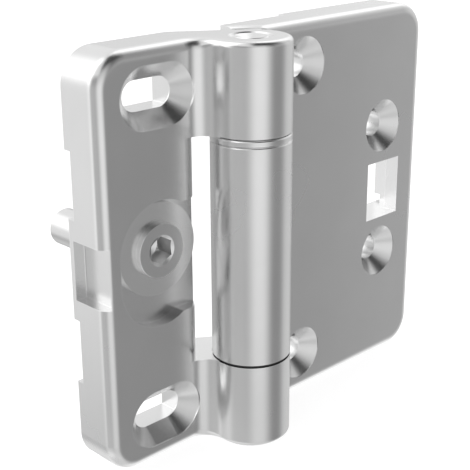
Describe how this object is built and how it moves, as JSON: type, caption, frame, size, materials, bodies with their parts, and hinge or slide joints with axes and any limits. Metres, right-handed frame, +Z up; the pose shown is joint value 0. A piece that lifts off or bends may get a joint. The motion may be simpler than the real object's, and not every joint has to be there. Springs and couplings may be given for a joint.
{
  "type": "tilt and turn hinge",
  "caption": "Surface hinge with two flat rounded leaves, a front barrel and an eccentric locating pin behind the frame leaf.",
  "frame": {"origin": "axis of the locating pin in the mounting plane behind the leaves, at mid height", "axes": "+X from the frame leaf to the door leaf, +Y backwards along the locating pin into the profile, +Z up along the hinge pin"},
  "size_m": [0.1126, 0.053, 0.1],
  "materials": {
    "cast_metal": "satin",
    "bush_metal": "satin",
    "pin_steel": "satin",
    "adjuster_steel": "satin",
    "screw_steel": "satin",
    "dark_plastic": "matte"
  },
  "bodies": {
    "frame": {"frame_leaf": "cast_metal", "hinge_pin": "pin_steel", "upper_grub_screw": "screw_steel", "lower_grub_screw": "screw_steel"},
    "door": {"door_leaf": "cast_metal", "upper_bush": "bush_metal", "lower_bush": "dark_plastic", "lower_spacer": "dark_plastic"},
    "slider": {"adjuster_disc": "adjuster_steel"},
    "eccentric": {"clamp_screw": "adjuster_steel", "eccentric_pin": "pin_steel", "support_washer": "screw_steel", "spring_washer": "screw_steel"}
  },
  "joints": [
    {"name": "door_turn", "type": "hinge", "parent": "frame", "child": "door", "pos_m": [0.02335, -0.0174, 0], "axis": [0, 0, -1], "range_deg": [0, 180]},
    {"name": "adjuster_slide", "type": "slide", "parent": "frame", "child": "slider", "axis": [0, 0, 1], "range_m": [-0.00315, 0]},
    {"name": "eccentric_turn", "type": "hinge", "parent": "slider", "child": "eccentric", "pos_m": [0, 0, 0.00315], "axis": [0, 1, 0], "range_deg": [-90, 90]}
  ]
}
